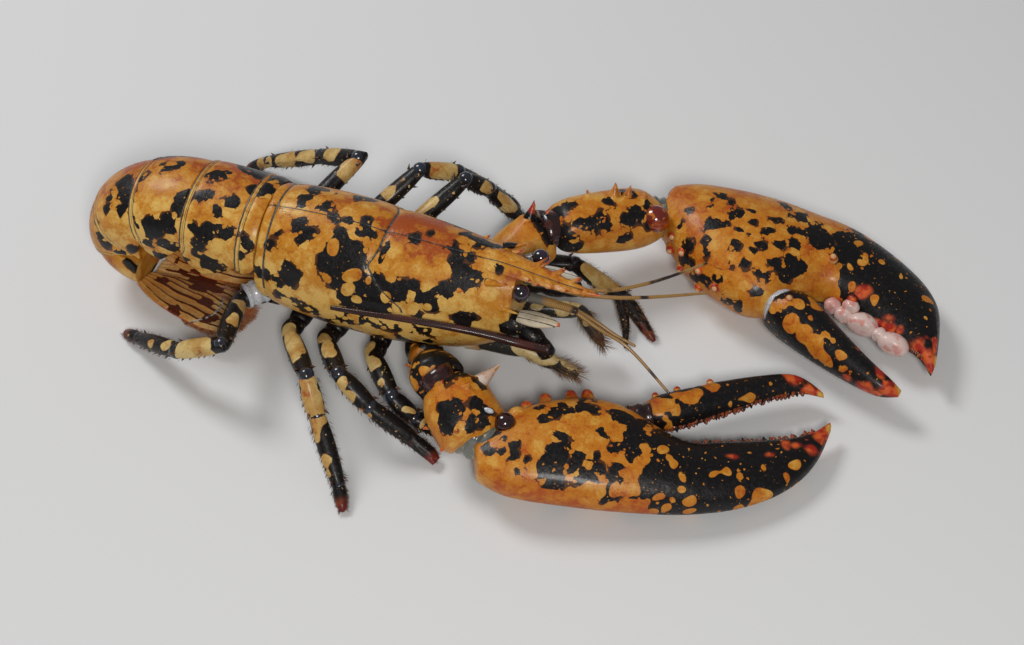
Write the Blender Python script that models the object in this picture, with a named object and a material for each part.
# American lobster, a life-size still model: the shell plates, claws, legs and
# feelers of an animal that rests on the floor with its tail curled under it.
#
# Every size below is in millimetres. X points forward, Y to the animal's left
# and Z up, with zero at the eye sockets on the midline and on the floor.
# The finished pieces are scaled to metres and moved so that the origin is on
# the floor under the middle of the model.

import math
import random

import bmesh
import bpy
from mathutils import Matrix, Vector

MILLIMETRE = 0.001
GAP = 0.3                       # clearance between neighbouring pieces
UP = Vector((0.0, 0.0, 1.0))

# Head and thorax shell
CARAPACE_LENGTH = 90.0          # from the eye socket to the rear edge
CARAPACE_ROWS = (               # x, half width, height of the widest line, top, lower edge, half width there
    (-90.0, 19.4, 32.0, 55.4, 20.4, 15.0),
    (-78.0, 21.8, 31.5, 57.0, 17.4, 15.6),
    (-62.0, 22.6, 31.0, 57.6, 16.4, 15.8),
    (-46.0, 22.2, 31.0, 57.0, 16.4, 15.8),
    (-30.0, 20.8, 31.5, 56.2, 17.8, 14.8),
    (-15.0, 17.8, 33.0, 55.2, 20.8, 12.6),
    (-5.0, 14.8, 35.0, 54.4, 24.8, 10.6),
    (0.0, 12.4, 37.0, 53.4, 28.5, 8.6),
)
CARAPACE_RINGS = (
    -90.0, -86.0, -80.0, -70.0, -60.0, -50.5, -47.5, -44.5, -36.0, -27.0, -18.0, -11.0, -5.0, -1.5, 0.0,
)
SPIKE_POINT = 0.12              # half width left at the point of a spine
ARCH_SIDES = 13                 # points over the back, from one widest line to the other
FLANK_PARTS = (0.4, 0.75, 1.0)  # where the points below the widest line lie
SHELL_HEM = 1.6                 # depth of the recess behind the lower edge
GROOVE_X = -47.5                # the groove across the back, between head and thorax
GROOVE_DEPTH = 1.0
GROOVE_REACH = 1.8

# Rostrum, the pointed beak between the eyes
ROSTRUM_ROWS = (                # x, half width, height of its top, thickness
    (-20.0, 3.0, 54.6, 3.0),
    (-8.0, 5.4, 55.6, 4.0),
    (0.0, 4.8, 54.6, 4.0),
    (8.0, 4.0, 53.2, 3.6),
    (16.0, 2.8, 51.8, 3.0),
    (22.0, 1.7, 51.0, 2.2),
    (27.5, 0.35, 51.0, 0.8),
)
BEAK_SPINES = (                 # x, how far the tip stands out, half width of the foot
    (5.0, 1.87, 1.17),
    (11.5, 1.43, 1.17),
    (17.5, 0.94, 1.04),
)
ORBIT_SPINES = (                # root, tip and half width of the foot, on the left; the right is its mirror
    ((-9.0, 8.6, 52.0), (-1.5, 9.6, 54.2), 1.7),
    ((-6.0, 11.0, 44.0), (3.4, 12.4, 45.0), 1.7),
)

# Breast plate between the legs
STERNUM_ROWS = (                # x, half width
    (-89.0, 5.0),
    (-80.0, 8.6),
    (-60.0, 9.6),
    (-40.0, 9.0),
    (-24.0, 6.4),
    (-12.0, 4.2),
)
STERNUM_HEIGHTS = (8.0, 9.6, 30.0)      # keel, edges, and how far it reaches up inside the shell

# Abdomen: the line of its back starts level, bends more and more, then runs round one circle
TAIL_TOP = 55.4
TAIL_BEND_START = 15.0          # length along the back where the bend begins
TAIL_BEND_FULL = 86.0           # and where it has become the circle
TAIL_RADIUS = 22.6
TAIL_SWING = 2.5                # how far the tail swings to the animal's right
TAIL_SWING_LENGTH = 60.0
TAIL_SEGMENTS = (               # length on the back, half width, depths of the widest line and the lobe's tip
    (7.0, 19.4, 17.0, 22.0),
    (21.0, 20.2, 17.5, 28.0),
    (22.5, 19.2, 15.0, 25.4),
    (22.0, 17.8, 14.0, 24.6),
    (20.5, 16.4, 13.0, 23.0),
    (27.0, 14.8, 11.5, 17.4),
)
TERGITE_RINGS = (               # part of a plate's length, and how far it is sunk there
    (0.0, 0.8),
    (0.1, 0.64),
    (0.3, 0.15),
    (0.62, 0.0),
    (0.88, 0.0),
    (1.0, 0.1),
)
TERGITE_TAPER = 0.8             # how much of the way to the next plate's size it goes
LOBE_WALL = 2.0                 # thickness of the side lobes
LOBE_PEAK = 0.62                # where along the segment the side lobe is longest
LOBE_SHORTEST = 2.2             # depth of the lobe at the plate's two ends, below the widest line
LOBE_SWELL = 0.7                # under 1 gives the lobe a full, round end
BELLY_INSET = 1.3               # depth of the belly below the widest line
FAN_SIDES = 12
FAN_POWER = 2.4                 # squares the edges of the fan's plates a little

# Tail fan, folded forward under the abdomen
TELSON = ((0.9, 0.0, 1.0), 37.0, 11.0, 2.4)     # root from the tail's end, length, half width, thickness
UROPODS = {                     # root on the left, turn, roll, length, half width, thickness
    "inner": ((1.9, 7.6, 4.2), 5.0, 7.0, 40.0, 8.8, 1.7),
    "outer": ((1.3, 9.8, 7.2), 13.0, 13.0, 41.0, 9.8, 1.8),
}
FAN_ROWS = (                    # part of the length, part of the half width, part of the thickness
    (0.0, 0.46, 1.0),
    (0.2, 0.84, 1.0),
    (0.5, 1.0, 0.95),
    (0.78, 0.96, 0.8),
    (0.93, 0.74, 0.65),
    (1.0, 0.4, 0.5),
)

# Head: eyes, feelers and jaw feet, each listed for the side it is on or for the left and mirrored
EYE_RADIUS = 3.0
STALK_RADIUS = 2.3
EYES = {                        # middle of the eye, root of its stalk
    "right": ((2.6, -6.8, 48.8), (-4.0, -6.4, 47.2)),
    "left": ((3.8, 9.2, 50.0), (-3.4, 6.8, 47.6)),
}
ANTENNULE_STEM = ((-4.0, 3.6, 44.0), (8.0, 3.8, 44.6), (21.5, 3.8, 44.2))
ANTENNULE_LASHES = {
    "left": (
        ((20.0, 4.4, 45.0), (31.0, 9.6, 44.2), (42.6, 19.4, 43.0), (55.4, 33.2, 42.0)),
        ((20.0, 3.2, 44.2), (32.0, 7.4, 42.8), (45.0, 14.0, 41.4), (58.8, 22.0, 40.0)),
    ),
    "right": (
        ((20.0, -3.4, 43.4), (29.5, -4.4, 38.6), (40.4, -5.2, 34.0), (57.3, -12.8, 26.0)),
        ((20.0, -2.2, 42.6), (28.0, -2.2, 39.0), (34.0, -3.0, 36.6), (42.0, -3.4, 33.8)),
    ),
}
ANTENNA_JOINTS = ((-5.0, 9.5, 37.0), (4.6, 10.4, 36.0), (11.6, 12.6, 33.6), (16.4, 16.4, 32.0))
ANTENNA_THICKNESS = (4.6, 4.2, 3.4, 2.9)
SCALE_LINE = ((3.0, 10.6, 41.8), (17.5, 10.4, 42.6))
SCALE_ROWS = (                  # part of the length, half width, half thickness
    (0.0, 2.4, 1.1),
    (0.3, 3.6, 0.98),
    (0.7, 3.0, 0.82),
    (1.0, 0.4, 0.7),
)
WHIPS = {                       # the long feelers: one lies along the shell, one below it
    "right": ((15.8, 15.9, 35.4), (5.2, 16.8, 35.6), (-5.0, 18.8, 38.0), (-19.4, 22.1, 40.4),
              (-34.0, 24.5, 41.0), (-48.7, 25.9, 39.8), (-58.3, 26.2, 38.6)),
    "left": ((15.8, 15.9, 35.4), (5.2, 16.6, 33.8), (-5.0, 18.6, 32.2), (-19.4, 22.4, 31.0),
             (-34.0, 24.0, 29.4), (-48.7, 24.6, 27.6), (-58.3, 24.8, 26.4)),
}
WHIP_THICKNESS = (1.75, 0.75)
JAW_FEET = {
    "right": ((-12.0, -6.0, 18.0), (4.0, -5.6, 18.6), (15.0, -4.6, 14.4), (22.0, -1.6, 8.0)),
    "left": ((-12.0, 6.0, 18.0), (4.0, 12.4, 20.6), (16.0, 17.4, 18.6), (26.4, 12.4, 9.0)),
}
JAW_FOOT_THICKNESS = (3.6, 3.4, 3.0, 2.2)

# Where the legs grow from the breast
COXA_X = (-34.0, -48.0, -63.0, -77.0, -87.0)
COXA_Y = 8.0
COXA_Z = (12.0, 11.0, 11.0, 11.0, 14.0)

# Walking legs: joints from the hip outwards, given by hand to the pose
LEG_JOINTS = {
    "right_2": ((-46.4, -15.9, 11.4), (-46.1, -22.1, 14.0), (-32.7, -37.9, 15.5), (-24.3, -39.4, 9.0),
                (-13.0, -37.7, 4.2), (-6.5, -36.6, 1.0)),
    "right_3": ((-63.6, -16.1, 11.4), (-63.7, -22.3, 15.0), (-49.9, -41.7, 25.0), (-37.5, -45.6, 17.0),
                (-21.0, -46.6, 6.6), (-11.9, -48.2, 2.4)),
    "right_4": ((-77.2, -16.2, 11.4), (-76.7, -23.4, 15.0), (-59.0, -47.6, 27.0), (-52.5, -55.2, 17.0),
                (-38.6, -71.1, 4.2), (-34.3, -78.4, 1.0)),
    "right_5": ((-90.0, -10.0, 16.4), (-97.4, -18.6, 18.8), (-91.1, -45.2, 27.0), (-109.7, -44.2, 15.0),
                (-129.4, -36.2, 4.4), (-137.1, -33.1, 1.0)),
    "left_2": ((-47.0, 12.7, 11.4), (-45.8, 17.5, 12.6), (-18.0, 38.5, 8.8), (4.4, 45.2, 9.0),
               (26.6, 37.6, 7.0), (40.5, 27.4, 0.5)),
    "left_3": ((-61.2, 13.4, 11.4), (-59.1, 22.0, 17.0), (-39.9, 52.4, 30.0), (-33.2, 57.9, 22.0),
               (-23.4, 61.5, 8.0), (-17.8, 63.2, 0.4)),
    "left_4": ((-76.2, 13.2, 11.4), (-75.1, 21.3, 17.0), (-55.8, 48.5, 33.0), (-45.2, 58.4, 26.0),
               (-30.6, 69.4, 6.0), (-25.8, 70.9, 0.3)),
    "left_5": ((-90.6, 11.0, 16.0), (-94.1, 21.5, 18.6), (-80.0, 49.1, 30.0), (-97.1, 54.1, 20.0),
               (-120.6, 56.1, 7.0), (-130.0, 55.9, 0.3)),
}
PINCERS = {                     # degrees between the two fingers of a small pincer
    "right_2": -16.0,
    "left_2": -36.0,
    "right_3": -14.0,
    "left_3": 14.0,
}
LEG_THICKNESS = (4.2, 4.0, 3.8, 3.6, 3.8, 2.9, 1.9)   # half widths at the joints from hip to tip
LEG_SIDES = 8

# Great claws: a plane for each claw, and its outline as stations along it
CUTTER = {
    "side": "right",
    "base": (5.1, -48.3, 15.0),
    "turn": 28.5,
    "roll": 6.0,
    "dip": 4.0,
    "inward": 1.0,
    "rows": (                   # along, outer edge, inner edge, half thickness
        (-4.0, -10.0, 2.0, 6.4),
        (2.0, -15.6, 7.4, 8.6),
        (10.0, -18.8, 12.6, 10.2),
        (22.0, -22.0, 16.2, 11.4),
        (36.0, -25.4, 16.8, 11.6),
        (48.0, -27.6, 13.0, 11.0),
        (58.0, -29.0, 3.6, 10.0),
        (66.0, -29.6, -3.2, 8.6),
        (80.0, -29.4, -4.2, 6.8),
        (95.0, -25.6, -4.8, 5.2),
        (107.0, -18.4, -4.4, 3.8),
        (114.5, -9.6, -2.0, 2.4),
        (118.4, -2.0, 0.6, 0.8),
    ),
    "thumb": (                  # along, inner edge, outer edge, half thickness
        (54.2, 5.6, 12.4, 4.6),
        (60.0, 2.8, 15.2, 6.4),
        (70.0, 4.2, 17.2, 6.2),
        (84.0, 7.8, 19.6, 5.2),
        (98.0, 11.8, 20.8, 4.0),
        (110.0, 13.6, 20.8, 2.8),
        (117.0, 12.8, 16.6, 1.6),
        (118.6, 10.8, 12.6, 0.7),
    ),
}
CRUSHER = {
    "side": "left",
    "base": (27.9, 69.7, 18.7),
    "turn": -7.5,
    "roll": -4.0,
    "dip": 5.0,
    "inward": -1.0,
    "rows": (
        (0.8, -13.4, 4.0, 8.6),
        (6.0, -17.2, 7.6, 11.2),
        (14.0, -20.2, 14.6, 14.0),
        (28.0, -25.2, 21.8, 15.4),
        (42.0, -28.2, 25.0, 15.2),
        (50.0, -29.0, 23.6, 14.0),
        (56.0, -29.4, 12.4, 13.0),
        (63.0, -29.4, 4.4, 12.0),
        (72.0, -28.6, 3.8, 10.4),
        (86.0, -24.6, 6.6, 8.6),
        (98.0, -18.4, 9.4, 6.8),
        (106.0, -9.4, 11.4, 5.0),
        (111.2, 2.0, 13.6, 3.2),
        (112.0, 13.0, 17.6, 1.4),
    ),
    "thumb": (
        (52.6, 15.0, 25.0, 7.0),
        (58.0, 9.4, 27.6, 9.0),
        (66.0, 11.0, 29.8, 8.8),
        (76.0, 16.6, 32.2, 7.6),
        (88.0, 23.0, 34.2, 6.0),
        (98.0, 27.2, 35.2, 4.2),
        (104.0, 28.4, 34.6, 2.2),
        (105.6, 30.0, 32.6, 1.0),
    ),
}
CLAW_SIDES = 16
CLAW_POWER = 2.15               # a little squarer than a true oval
PALM_RINGS = 20
THUMB_RINGS = 11

# Arms that carry the great claws: hip, ischium end and merus end, then the wrist's cross-sections
ARMS = {
    "right": ((-30.8, -16.3, 13.6), (-24.7, -21.4, 17.6), (-17.0, -34.2, 26.2)),
    "left": ((-31.2, 13.5, 13.6), (-22.6, 18.8, 17.6), (-4.4, 43.0, 28.0)),
}
ARM_THICKNESS = {
    "right": (5.4, 5.6, 7.2, 11.0),
    "left": (5.4, 5.6, 8.0, 12.2),
}
WRISTS = {                      # centre, half width, half height
    "right": (
        ((-16.4, -34.8, 25.8), 7.4, 6.6),
        ((-12.6, -36.4, 23.6), 10.8, 9.0),
        ((-6.8, -39.2, 20.2), 12.8, 11.0),
        ((-1.4, -42.8, 16.4), 12.8, 11.4),
        ((1.6, -45.8, 14.8), 10.2, 8.8),
    ),
    "left": (
        ((-3.8, 42.9, 27.8), 8.2, 7.4),
        ((1.6, 47.2, 26.2), 10.8, 9.6),
        ((11.6, 55.4, 23.6), 11.8, 10.2),
        ((21.4, 63.4, 21.2), 12.4, 10.4),
        ((27.0, 68.2, 19.8), 9.0, 7.8),
    ),
}

# Spines on the arms: root on the shell, way it points, length, half width of its foot
ARM_SPINES = {
    "arm_merus_right": (
        ((-28.4, -26.0, 18.6), (-1.0, 0.1, 0.1), 3.6, 1.5),
    ),
    "arm_carpus_right": (
        ((-14.4, -38.5, 30.4), (0.3, -0.1, 1.0), 2.8, 1.5),
        ((-5.9, -36.8, 30.2), (0.4, 0.1, 1.0), 2.8, 1.5),
        ((-15.4, -47.2, 18.6), (-0.4, -0.9, 0.4), 2.8, 1.5),
        ((-8.6, -51.0, 15.6), (-0.1, -1.0, 0.1), 2.8, 1.5),
        ((-4.2, -50.4, 24.6), (0.3, -0.5, 0.9), 2.6, 1.5),
        ((-3.4, -27.8, 25.4), (0.7, 1.0, 0.4), 7.4, 2.2),
    ),
    "arm_merus_left": (
        ((-10.8, 38.6, 33.0), (0.2, 0.5, 1.0), 7.0, 3.0),
    ),
    "arm_carpus_left": (
        ((13.2, 61.0, 32.6), (0.1, 0.35, 1.0), 4.4, 2.2),
        ((17.6, 62.6, 31.8), (0.25, 0.35, 1.0), 4.0, 2.0),
        ((22.8, 64.6, 30.2), (0.3, 0.3, 1.0), 2.6, 2.4),
        ((5.6, 56.0, 33.2), (-0.3, 0.4, 0.9), 3.0, 1.6),
        ((12.9, 48.4, 32.2), (0.4, -0.3, 0.9), 2.6, 1.5),
    ),
}
WRIST_BALL = ((30.0, 61.0, 26.6), 4.0)      # the round red knuckle on the left wrist

# Knobs along the inner edge of the palms: place along, place across, rise, radius
CUTTER["knobs"] = (
    (16.0, 14.6, 1.0, 1.6), (22.8, 17.0, 1.0, 1.6), (31.7, 17.5, 1.0, 1.4), (37.2, 17.4, 1.0, 1.3),
    (11.4, 10.4, 4.6, 3.4),
)
CRUSHER["knobs"] = (
    (9.4, -9.6, 3.0, 1.5), (10.3, -11.6, -1.4, 1.4), (15.4, -14.4, 2.6, 1.5), (16.6, -15.2, -4.6, 1.4),
    (24.0, -19.4, 3.0, 1.5), (25.6, -19.4, -5.0, 1.4), (32.0, -22.4, 1.6, 1.5), (64.0, 4.0, 11.6, 1.2),
    (1.4, 10.4, 1.6, 3.4),
)
CUTTER["thumb_knobs"] = ((60.0, 14.6, 2.4, 1.3), (68.0, 16.6, 2.0, 1.2), (80.0, 18.8, 1.6, 1.1))
CRUSHER["thumb_knobs"] = ((57.6, -19.4, 8.2, 1.4),)
# Round crushing teeth: place along, place across, rise, half length, half width
MOLARS = (
    (70.2, -6.0, 0.6, 2.3, 2.4), (75.4, -7.8, 0.0, 2.3, 2.4), (76.2, -4.4, 5.2, 2.1, 2.0),
    (82.8, -8.4, 0.4, 4.3, 3.5), (89.2, -9.6, 0.4, 1.8, 1.9), (95.2, -11.0, 0.6, 4.3, 3.4),
)
CUTTER_TEETH = 14
TOOTH = (1.0, 1.7)              # sunk depth and height of a cutting tooth
TOOTH_HALF = 1.5                # half width of its foot
CUTTING_EDGE = (66.0, 112.0)    # where the teeth stand on the fixed finger
THUMB_EDGE = (66.0, 110.0)      # and on the thumb
FINE_TEETH = (101.0, 102.9, 104.8, 106.7)       # places of the crusher's small teeth
FINE_TOOTH = (1.2, 1.2)         # their height and the half width of the foot

COLOURS = {                     # base colour and roughness of each kind of piece
    "shell": ((0.62, 0.27, 0.045), 0.32),
    "belly": ((0.55, 0.38, 0.2), 0.5),
    "claw": ((0.5, 0.2, 0.035), 0.3),
    "thumb": ((0.2, 0.05, 0.02), 0.3),
    "leg": ((0.5, 0.33, 0.14), 0.38),
    "shin": ((0.16, 0.09, 0.045), 0.4),
    "feeler": ((0.11, 0.025, 0.018), 0.35),
    "eye": ((0.01, 0.006, 0.014), 0.08),
    "stalk": ((0.3, 0.2, 0.11), 0.4),
    "fan": ((0.62, 0.36, 0.13), 0.38),
}


def vec(*numbers):
    return Vector(numbers)


def mirrored(place, side):
    """A place given for the left, on the left (1) or the right (-1)."""
    return vec(place[0], side * place[1], place[2])


def read_rows(rows, at):
    """The sizes at one place, on a smooth curve through the rows."""
    last = len(rows) - 1
    low = 0
    while low < last - 1 and rows[low + 1][0] < at:
        low += 1
    near = [rows[min(max(low + k, 0), last)] for k in (-1, 0, 1, 2)]
    before, start, end, after = near
    span = end[0] - start[0]
    part = (at - start[0]) / span
    sizes = []
    for k in range(1, len(start)):
        slope_in = (end[k] - before[k]) / max(end[0] - before[0], 1e-6) * span
        slope_out = (after[k] - start[k]) / max(after[0] - start[0], 1e-6) * span
        step = end[k] - start[k]
        bend = 3.0 * step - 2.0 * slope_in - slope_out
        twist = slope_in + slope_out - 2.0 * step
        sizes.append(start[k] + part * (slope_in + part * (bend + part * twist)))
    return sizes


def new_object(name, mesh, kind=None):
    piece = bpy.data.objects.new(name, mesh)
    bpy.data.collections["lobster"].objects.link(piece)
    if kind:
        colour, roughness = COLOURS[kind]
        material = bpy.data.materials.new(name + "_shell")
        material.use_nodes = True
        surface = material.node_tree.nodes["Principled BSDF"]
        surface.inputs["Base Color"].default_value = (*colour, 1.0)
        surface.inputs["Roughness"].default_value = roughness
        surface.inputs["Metallic"].default_value = 0.0
        mesh.materials.append(material)
    return piece


def loft(name, rings, kind=None):
    """A closed solid through rings of points that correspond, with flat ends."""
    shape = bmesh.new()
    rows = [[shape.verts.new(point) for point in ring] for ring in rings]
    count = len(rings[0])
    for near, far in zip(rows, rows[1:]):
        for k in range(count):
            n = (k + 1) % count
            shape.faces.new((near[k], near[n], far[n], far[k]))
    shape.faces.new(rows[0])
    shape.faces.new(rows[-1])
    bmesh.ops.triangulate(shape, faces=shape.faces[:])
    bmesh.ops.recalc_face_normals(shape, faces=shape.faces[:])
    mesh = bpy.data.meshes.new(name)
    shape.to_mesh(mesh)
    shape.free()
    return new_object(name, mesh, kind)


def oval(centre, side, rise, half_width, half_height, count, power=2.0):
    """A ring of points on an oval, with squarer shoulders as the power grows."""
    points = []
    for k in range(count):
        angle = math.tau * (k + 0.5) / count
        across = math.copysign(abs(math.cos(angle)) ** (2.0 / power), math.cos(angle))
        height = math.copysign(abs(math.sin(angle)) ** (2.0 / power), math.sin(angle))
        points.append(centre + side * (half_width * across) + rise * (half_height * height))
    return points


def chain(name, joints, sizes, sides, kind, first=0, last=None, flat=1.0, waist=0.74):
    """A jointed limb from one joint to another; its ends lie on the planes that halve each bend."""
    joints = [Vector(joint) for joint in joints]
    last = len(joints) - 1 if last is None else last
    ways = [(b - a).normalized() for a, b in zip(joints, joints[1:])]
    rings = []
    for k in range(first, last):
        start, end, way = joints[k], joints[k + 1], ways[k]
        side = UP.cross(way).normalized()
        rise = way.cross(side)
        length = (end - start).length
        if k == first:
            cut = (way + (ways[k - 1] if k > 0 else way)).normalized()
            narrow = sizes[k] * (waist if k > 0 else 1.0)
            ring = oval(start, side, rise, narrow, narrow * flat, sides)
            rings.append([p + way * ((start + cut * GAP / 2 - p).dot(cut) / way.dot(cut)) for p in ring])
        for part in (0.2, 0.8):
            half = sizes[k] + (sizes[k + 1] - sizes[k]) * part
            if part > 0.5:
                half *= 1.05
            rings.append(oval(start + way * length * part, side, rise, half, half * flat, sides))
        tip = k == len(joints) - 2
        cut = (way + (way if tip else ways[k + 1])).normalized()
        narrow = sizes[k + 1] * (0.35 if tip else waist)
        ring = oval(end, side, rise, narrow, narrow * flat, sides)
        inset = -GAP / 2 if k == last - 1 else 0.0
        rings.append([p + way * ((end + cut * inset - p).dot(cut) / way.dot(cut)) for p in ring])
    return loft(name, rings, kind)


def cord(name, points, thick, thin, sides, kind=None):
    """A feeler: a tapering round rod along a smooth line through a few points."""
    places = [(float(k), *point) for k, point in enumerate(points)]
    steps = (len(points) - 1) * 4
    line = [Vector(read_rows(places, k / 4.0)) for k in range(steps + 1)]
    rings = []
    for k, spot in enumerate(line):
        way = (line[min(k + 1, steps)] - line[max(k - 1, 0)]).normalized()
        side = UP.cross(way).normalized()
        half = thick + (thin - thick) * k / steps
        rings.append(oval(spot, side, way.cross(side), half, half, sides))
    return loft(name, rings, kind)


def spike(base, tip, radius, sides=5):
    """A spine or tooth: a cone from a point sunk in the shell to its tip."""
    base, tip = Vector(base), Vector(tip)
    way = tip - base
    turn = way.to_track_quat("Z", "Y").to_matrix().to_4x4()
    shape = bmesh.new()
    place = Matrix.Translation((base + tip) / 2) @ turn
    bmesh.ops.create_cone(shape, cap_ends=True, segments=sides, radius1=radius, radius2=SPIKE_POINT,
                          depth=way.length, matrix=place)
    bmesh.ops.triangulate(shape, faces=shape.faces[:])
    mesh = bpy.data.meshes.new("spike")
    shape.to_mesh(mesh)
    shape.free()
    return new_object("spike", mesh)


def knob(centre, radius, detail=1, ways=None, stretch=(1.0, 1.0, 1.0)):
    """A rounded knob or a crushing tooth: a ball, stretched along three ways."""
    shape = bmesh.new()
    bmesh.ops.create_icosphere(shape, subdivisions=detail, radius=radius)
    along, across, rise = ways or (vec(1.0, 0.0, 0.0), vec(0.0, 1.0, 0.0), UP)
    for vert in shape.verts:
        x, y, z = (vert.co[k] * stretch[k] for k in range(3))
        vert.co = Vector(centre) + along * x + across * y + rise * z
    mesh = bpy.data.meshes.new("knob")
    shape.to_mesh(mesh)
    shape.free()
    return new_object("knob", mesh)


def keep_largest(piece):
    """Keep only the largest closed surface of a piece."""
    shape = bmesh.new()
    shape.from_mesh(piece.data)
    shape.verts.ensure_lookup_table()
    groups = []
    seen = set()
    for seed in shape.verts:
        if seed in seen:
            continue
        group = {seed}
        edge_of_group = [seed]
        while edge_of_group:
            vert = edge_of_group.pop()
            for edge in vert.link_edges:
                other = edge.other_vert(vert)
                if other not in group:
                    group.add(other)
                    edge_of_group.append(other)
        seen |= group
        groups.append(group)
    if len(groups) > 1:
        def extent(group):
            return sum(max(v.co[k] for v in group) - min(v.co[k] for v in group) for k in range(3))
        keep = max(groups, key=extent)
        bmesh.ops.delete(shape, geom=[v for v in shape.verts if v not in keep], context="VERTS")
    shape.to_mesh(piece.data)
    shape.free()


def combine(piece, others, operation, solver="EXACT"):
    """Join others to a piece, or cut them out of it, and remove them."""
    tools = bpy.data.collections.new("tools")
    bpy.context.scene.collection.children.link(tools)
    for other in others:
        tools.objects.link(other)
    change = piece.modifiers.new("combine", "BOOLEAN")
    change.operation = operation
    change.solver = solver
    change.operand_type = "COLLECTION"
    change.collection = tools
    ready = piece.evaluated_get(bpy.context.evaluated_depsgraph_get())
    mesh = bpy.data.meshes.new_from_object(ready)
    piece.modifiers.clear()
    old = piece.data
    piece.data = mesh
    bpy.data.meshes.remove(old)
    for other in others:
        bpy.data.objects.remove(other)
    bpy.data.collections.remove(tools)
    keep_largest(piece)


def cut_clear(piece, *neighbours):
    """Cut a piece back so that it stays the gap away from its neighbours."""
    grown = []
    for neighbour in neighbours:
        mesh = neighbour.data.copy()
        normals = [vert.normal.copy() for vert in mesh.vertices]
        for vert, normal in zip(mesh.vertices, normals):
            vert.co += normal * GAP * 1.15
        grown.append(new_object("grown", mesh))
    combine(piece, grown, "DIFFERENCE")


def flatten_feet(piece):
    """Press whatever would reach below the floor into a flat on it."""
    for vert in piece.data.vertices:
        vert.co.z = max(vert.co.z, 0.0)


def groove(x, height):
    """Depth of the groove across the back, fading out down the sides."""
    return GROOVE_DEPTH * math.exp(-((x - GROOVE_X) / GROOVE_REACH) ** 2) * max(height, 0.0) ** 0.5


def carapace_ring(x):
    half, widest, top, low, low_half = read_rows(CARAPACE_ROWS, x)
    ring = []
    for k in range(ARCH_SIDES):
        angle = math.pi * k / (ARCH_SIDES - 1)
        sink = groove(x, math.sin(angle))
        height = widest + (top - widest - sink) * math.sin(angle)
        ring.append(vec(x, (half - sink) * math.cos(angle), height))
    flank = []
    for part in FLANK_PARTS:
        flank.append((half - (half - low_half) * part ** 2, widest - (widest - low) * part))
    right = [vec(x, -y, z) for y, z in flank]
    left = [vec(x, y, z) for y, z in reversed(flank)]
    under = [vec(x, part * low_half, low + SHELL_HEM) for part in (-0.8, 0.0, 0.8)]
    return ring + right + under + left


def make_carapace():
    shell = loft("carapace", [carapace_ring(x) for x in CARAPACE_RINGS], "shell")
    beak = []
    for x, half, top, thick in ROSTRUM_ROWS:
        edge = top - thick * 0.35
        middle = top - thick * 0.15
        beak.append([vec(x, half, edge), vec(x, half * 0.55, top), vec(x, 0.0, middle),
                     vec(x, -half * 0.55, top), vec(x, -half, edge), vec(x, 0.0, top - thick)])
    pieces = [loft("beak", beak)]
    for side in (1.0, -1.0):
        for x, reach, foot in BEAK_SPINES:
            half, top, thick = read_rows(ROSTRUM_ROWS, x)
            root = (x - 1.5, side * half * 0.3, top - 1.0)
            tip = (x + 2.2, side * (half + reach), top + 1.0)
            pieces.append(spike(root, tip, foot))
        for root, tip, foot in ORBIT_SPINES:
            pieces.append(spike(mirrored(root, side), mirrored(tip, side), foot))
    combine(shell, pieces, "UNION")
    return shell


def make_sternum(carapace):
    keel, edge, inside = STERNUM_HEIGHTS
    rings = []
    for x, half in STERNUM_ROWS:
        rings.append([vec(x, half, edge), vec(x, half * 0.6, keel), vec(x, -half * 0.6, keel),
                      vec(x, -half, edge), vec(x, -half, inside), vec(x, half, inside)])
    sternum = loft("sternum", rings, "belly")
    cut_clear(sternum, carapace)
    return sternum


def tail_angle(along):
    """How far the line of the tail's back has turned down."""
    ramp = TAIL_BEND_FULL - TAIL_BEND_START
    past = max(along - TAIL_BEND_START, 0.0)
    if past < ramp:
        return past ** 2 / (2.0 * ramp * TAIL_RADIUS)
    return (past - ramp / 2.0) / TAIL_RADIUS


def tail_place(along):
    """A point on the line of the tail's back, and the ways out of the back and along it."""
    steps = max(1, math.ceil(along * 2.0))
    size = along / steps
    spot = vec(-CARAPACE_LENGTH - GAP, 0.0, TAIL_TOP)
    for k in range(steps):
        angle = tail_angle((k + 0.5) * size)
        spot += vec(-math.cos(angle), 0.0, -math.sin(angle)) * size
    spot.y = -TAIL_SWING * min(along / TAIL_SWING_LENGTH, 1.0) ** 2
    angle = tail_angle(along)
    outward = vec(-math.sin(angle), 0.0, math.cos(angle))
    return spot, outward, vec(-math.cos(angle), 0.0, -math.sin(angle))


def tergite_ring(along, part, half, widest, lobe, sink, shift):
    """One ring of a tail segment: the arched back, the side lobes and the belly between them."""
    spot, out, way = tail_place(along)
    spot = spot + way * shift
    shortest = widest + LOBE_SHORTEST
    peak = max(0.0, 1.0 - abs(part - LOBE_PEAK) / LOBE_PEAK)
    tip = shortest + (lobe - shortest) * peak ** LOBE_SWELL
    belly = widest + BELLY_INSET
    narrow = half - sink
    profile = []
    for k in range(ARCH_SIDES):
        angle = math.pi * k / (ARCH_SIDES - 1)
        profile.append((narrow * math.cos(angle), sink + (widest - sink) * (1.0 - math.sin(angle))))
    hem = [
        (narrow * 0.985, (widest + tip) / 2),
        (narrow * 0.95, tip),
        (narrow * 0.95 - LOBE_WALL * 0.5, tip),
        (narrow - LOBE_WALL * 1.2, belly + 0.6),
    ]
    profile += [(-across, depth) for across, depth in hem]
    profile.append((0.0, belly))
    profile += reversed(hem)
    return [spot - out * depth + vec(0.0, across, 0.0) for across, depth in profile]


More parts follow.
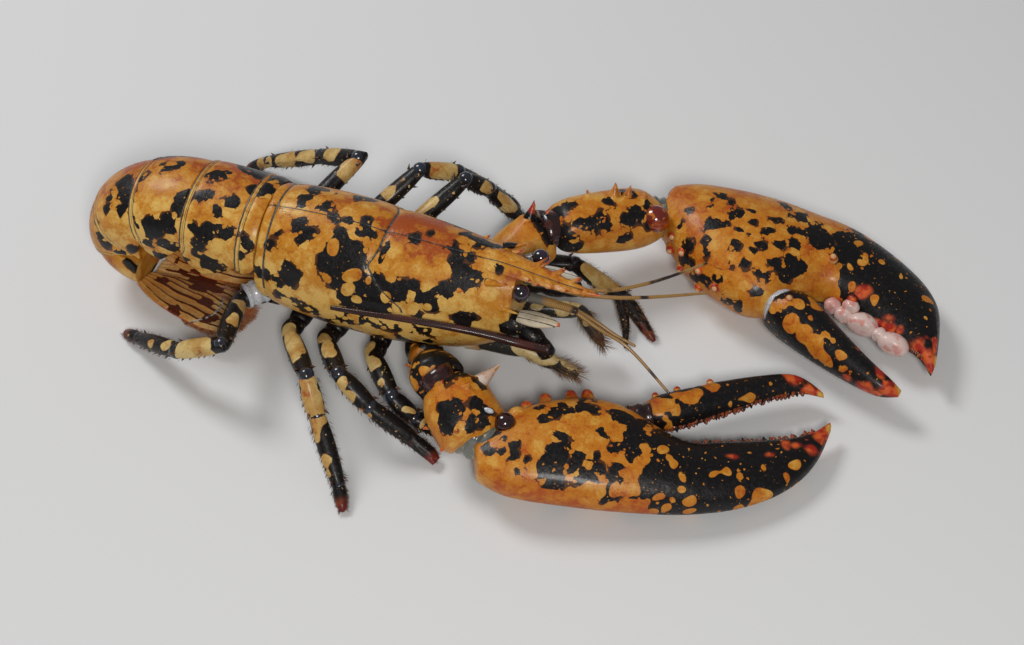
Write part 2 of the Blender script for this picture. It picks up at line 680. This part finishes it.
def make_abdomen():
    segments = []
    along = 0.0
    for k, (length, half, widest, lobe) in enumerate(TAIL_SEGMENTS):
        after = TAIL_SEGMENTS[min(k + 1, len(TAIL_SEGMENTS) - 1)]
        rings = []
        for part, sink in TERGITE_RINGS:
            wide = half + (after[1] - half) * part * TERGITE_TAPER
            deep = widest + (after[2] - widest) * part * TERGITE_TAPER
            shift = 0.0
            if part == 0.0:
                shift = GAP / 2
            elif part == 1.0:
                shift = -GAP / 2
            rings.append(tergite_ring(along + length * part, part, wide, deep, lobe, sink, shift))
        segments.append(loft("abdomen_%d" % (k + 1), rings, "shell"))
        flatten_feet(segments[-1])
        along += length
    return segments


def fan_blade(name, root, turn, roll, length, half, thick, kind="fan"):
    """One plate of the tail fan: a flat tapering blade with a rounded end."""
    way = Matrix.Rotation(math.radians(turn), 3, "Z") @ vec(1.0, 0.0, 0.0)
    side = Matrix.Rotation(math.radians(roll), 3, way) @ UP.cross(way)
    rise = way.cross(side)
    rings = []
    for part, wide, high in FAN_ROWS:
        centre = Vector(root) + way * length * part
        rings.append(oval(centre, side, rise, half * wide, thick * high / 2, FAN_SIDES, FAN_POWER))
    return loft(name, rings, kind)


def make_fan(last_segment):
    end, out, way = tail_place(sum(row[0] for row in TAIL_SEGMENTS))
    end.z = 0.0
    place, length, half, thick = TELSON
    pieces = [fan_blade("telson", end + Vector(place), 0.0, 0.0, length, half, thick)]
    for side, word in ((1.0, "left"), (-1.0, "right")):
        for kind, (place, turn, roll, length, half, thick) in UROPODS.items():
            name = "uropod_%s_%s" % (kind, word)
            root = end + mirrored(place, side)
            pieces.append(fan_blade(name, root, side * turn, side * roll, length, half, thick))
    for piece in pieces:
        cut_clear(piece, last_segment)
        flatten_feet(piece)
    return pieces


def make_eyes(carapace):
    pieces = []
    for word, (place, root) in EYES.items():
        shape = bmesh.new()
        bmesh.ops.create_uvsphere(shape, u_segments=12, v_segments=8, radius=EYE_RADIUS)
        mesh = bpy.data.meshes.new("eye_" + word)
        shape.to_mesh(mesh)
        shape.free()
        mesh.transform(Matrix.Translation(place))
        eye = new_object("eye_" + word, mesh, "eye")
        way = (Vector(place) - Vector(root)).normalized()
        cut_clear(carapace, eye)
        line = (root, Vector(root) + way * 3.5, Vector(place) - way * 0.5)
        stalk = cord("eyestalk_" + word, line, STALK_RADIUS, STALK_RADIUS, 10, "stalk")
        cut_clear(stalk, carapace, eye)
        pieces += [eye, stalk]
    return pieces


def make_scale(name, side):
    """The flat pointed plate beside a long feeler's root."""
    start, end = (mirrored(place, side) for place in SCALE_LINE)
    rings = []
    for part, half, thick in SCALE_ROWS:
        rings.append(oval(start.lerp(end, part), vec(0.0, 1.0, 0.0), UP, half, thick, 8))
    return loft(name, rings, "fan")


def make_feelers(carapace, sternum):
    pieces = []
    for word, side in (("left", 1.0), ("right", -1.0)):
        line = [mirrored(place, side) for place in ANTENNULE_STEM]
        stem = cord("antennule_" + word, line, 2.2, 1.3, 8, "feeler")
        lashes = [cord("lash", line, 0.75, 0.4, 6) for line in ANTENNULE_LASHES[word]]
        combine(stem, lashes, "UNION")
        cut_clear(stem, carapace)
        pieces.append(stem)
    for word, side in (("left", 1.0), ("right", -1.0)):
        joints = [mirrored(place, side) for place in ANTENNA_JOINTS]
        stem = chain("antenna_" + word, joints, ANTENNA_THICKNESS, LEG_SIDES, "feeler", 0, 3)
        cut_clear(stem, carapace)
        scale = make_scale("antenna_scale_" + word, side)
        cut_clear(scale, carapace, stem)
        line = [mirrored(place, side) for place in WHIPS[word]]
        whip = cord("flagellum_" + word, line, *WHIP_THICKNESS, 6, "feeler")
        cut_clear(whip, stem)
        pieces += [stem, scale, whip]
    for word, joints in JAW_FEET.items():
        piece = chain("maxilliped_" + word, joints, JAW_FOOT_THICKNESS, LEG_SIDES, "leg", 0, 3)
        cut_clear(piece, carapace, sternum)
        pieces.append(piece)
    return pieces


def claw_frame(claw):
    """Ways along and across a great claw and out of its upper face."""
    turn, dip, roll = (math.radians(claw[key]) for key in ("turn", "dip", "roll"))
    along = vec(math.cos(turn) * math.cos(dip), math.sin(turn) * math.cos(dip), -math.sin(dip))
    level = UP.cross(along).normalized()
    across = Matrix.Rotation(roll, 3, along) @ level
    return Vector(claw["base"]), along, across, along.cross(across)


def claw_solid(claw, rows, name, kind, rings):
    base, along, across, rise = claw_frame(claw)
    first, last = rows[0][0], rows[-1][0]
    loops = []
    for k in range(rings + 1):
        at = first + (last - first) * k / rings
        low, high, thick = read_rows(rows, at)
        middle = base + along * at + across * (low + high) / 2 * claw["inward"]
        loops.append(oval(middle, across, rise, abs(high - low) / 2, thick, CLAW_SIDES, CLAW_POWER))
    return loft(name, loops, kind)


def claw_knobs(claw, knobs):
    base, along, across, rise = claw_frame(claw)
    ways = (along, across, rise)
    return [knob(base + along * s + across * t + rise * r, size, 1, ways) for s, t, r, size in knobs]


def cutting_teeth(claw, rows, first, last, outward):
    """A row of small pointed teeth along the inner edge of a finger."""
    base, along, across, rise = claw_frame(claw)
    edge = 1 if claw["rows"] is rows else 0
    teeth = []
    for k in range(CUTTER_TEETH):
        at = first + (last - first) * (k + random.uniform(-0.2, 0.2)) / (CUTTER_TEETH - 1)
        size = random.uniform(0.7, 1.15)
        spot = base + along * at + across * read_rows(rows, at)[edge] * claw["inward"]
        out = across * outward
        teeth.append(spike(spot - out * TOOTH[0], spot + out * TOOTH[1] * size, TOOTH_HALF * size))
    return teeth


def crushing_teeth(claw):
    base, along, across, rise = claw_frame(claw)
    teeth = []
    for s, t, r, length, width in MOLARS:
        centre = base + along * s + across * t + rise * r
        teeth.append(knob(centre, 1.0, 2, (along, across, rise), (length, width, width)))
    height, foot = FINE_TOOTH
    for at in FINE_TEETH:
        edge = read_rows(claw["rows"], at)[1]
        spot = base + along * at - across * edge
        teeth.append(spike(spot + across * TOOTH[0], spot - across * height, foot))
    return teeth


def make_claw(claw):
    side = claw["side"]
    palm = claw_solid(claw, claw["rows"], "claw_" + side, "claw", PALM_RINGS)
    thumb = claw_solid(claw, claw["thumb"], "dactyl_" + side, "thumb", THUMB_RINGS)
    cut_clear(palm, thumb)
    palm_extras = claw_knobs(claw, claw["knobs"])
    thumb_extras = claw_knobs(claw, claw["thumb_knobs"])
    if side == "right":
        palm_extras += cutting_teeth(claw, claw["rows"], *CUTTING_EDGE, 1.0)
        thumb_extras += cutting_teeth(claw, claw["thumb"], *THUMB_EDGE, -1.0)
    else:
        palm_extras += crushing_teeth(claw)
    combine(palm, palm_extras, "UNION")
    combine(thumb, thumb_extras, "UNION")
    for piece in (palm, thumb):
        flatten_feet(piece)
    return palm, thumb


def add_spines(piece):
    """Join the spines that belong to a piece of the arms."""
    cones = []
    for root, way, length, half in ARM_SPINES.get(piece.name, ()):
        way = Vector(way).normalized()
        cones.append(spike(Vector(root) - way * half, Vector(root) + way * length, half, 6))
    combine(piece, cones, "UNION")


def make_wrist(side, stations):
    """The block between arm and claw, through its cross-sections."""
    centres = [Vector(station[0]) for station in stations]
    rings = []
    for k, (centre, half, high) in enumerate(stations):
        way = (centres[min(k + 1, len(centres) - 1)] - centres[max(k - 1, 0)]).normalized()
        across = UP.cross(way).normalized()
        rings.append(oval(Vector(centre), across, way.cross(across), half, high, 12, 2.2))
    return loft("arm_carpus_" + side, rings, "claw")


def make_arm(side, palm, carapace, sternum):
    sign = 1.0 if side == "left" else -1.0
    places = ((COXA_X[0], sign * COXA_Y, COXA_Z[0]), *ARMS[side])
    sizes = ARM_THICKNESS[side]
    base = chain("arm_base_" + side, places, sizes, 10, "leg", 0, 2)
    upper = chain("arm_merus_" + side, places, sizes, 10, "claw", 2, 3, 0.9)
    wrist = make_wrist(side, WRISTS[side])
    if side == "left":
        centre, radius = WRIST_BALL
        combine(wrist, [knob(centre, radius, 2)], "UNION")
    add_spines(wrist)
    cut_clear(base, carapace, sternum)
    cut_clear(wrist, palm)
    cut_clear(upper, carapace, wrist)
    add_spines(upper)
    return base, upper, wrist


def make_leg(word, joints, carapace, sternum):
    side, number = word.split("_")
    sign = 1.0 if side == "left" else -1.0
    place = int(number) - 1
    root = (COXA_X[place], sign * COXA_Y, COXA_Z[place])
    places = (root, *joints)
    upper = chain("leg_%s_upper" % word, places, LEG_THICKNESS, LEG_SIDES, "leg", 0, 3, 0.9)
    lower = chain("leg_%s_lower" % word, places, LEG_THICKNESS, LEG_SIDES, "shin", 3, 6, 0.9)
    if word in PINCERS:
        palm, knuckle, tip = (Vector(joint) for joint in joints[-3:])
        finger_tip = knuckle + Matrix.Rotation(math.radians(PINCERS[word]), 3, "Z") @ (tip - knuckle)
        start = palm.lerp(knuckle, 0.86)
        bend = (start + finger_tip) / 2 + (start - palm).normalized() * 1.2
        combine(lower, [cord("finger", (start, bend, finger_tip), 2.6, 0.7, 6)], "UNION")
    cut_clear(upper, carapace, sternum)
    if number == "5":           # its knee is so sharp that the two parts would touch
        cut_clear(lower, upper)
    for piece in (upper, lower):
        flatten_feet(piece)
    return upper, lower


def settle():
    """Scale the model to metres and set its origin on the floor under its middle."""
    pieces = list(bpy.data.collections["lobster"].objects)
    corners = [vert.co for piece in pieces for vert in piece.data.vertices]
    middle_x = (max(c.x for c in corners) + min(c.x for c in corners)) / 2
    middle_y = (max(c.y for c in corners) + min(c.y for c in corners)) / 2
    place = Matrix.Scale(MILLIMETRE, 4) @ Matrix.Translation((-middle_x, -middle_y, 0.0))
    for piece in pieces:
        piece.data.transform(place)
        piece.data.shade_smooth()
        piece.data.set_sharp_from_angle(angle=math.radians(40.0))


def build():
    for old in list(bpy.data.objects):
        bpy.data.objects.remove(old)
    bpy.context.scene.collection.children.link(bpy.data.collections.new("lobster"))
    random.seed(7)
    carapace = make_carapace()
    sternum = make_sternum(carapace)
    segments = make_abdomen()
    make_fan(segments[-1])
    make_eyes(carapace)
    make_feelers(carapace, sternum)
    for claw in (CUTTER, CRUSHER):
        palm, thumb = make_claw(claw)
        make_arm(claw["side"], palm, carapace, sternum)
    for word, joints in LEG_JOINTS.items():
        make_leg(word, joints, carapace, sternum)
    settle()


build()
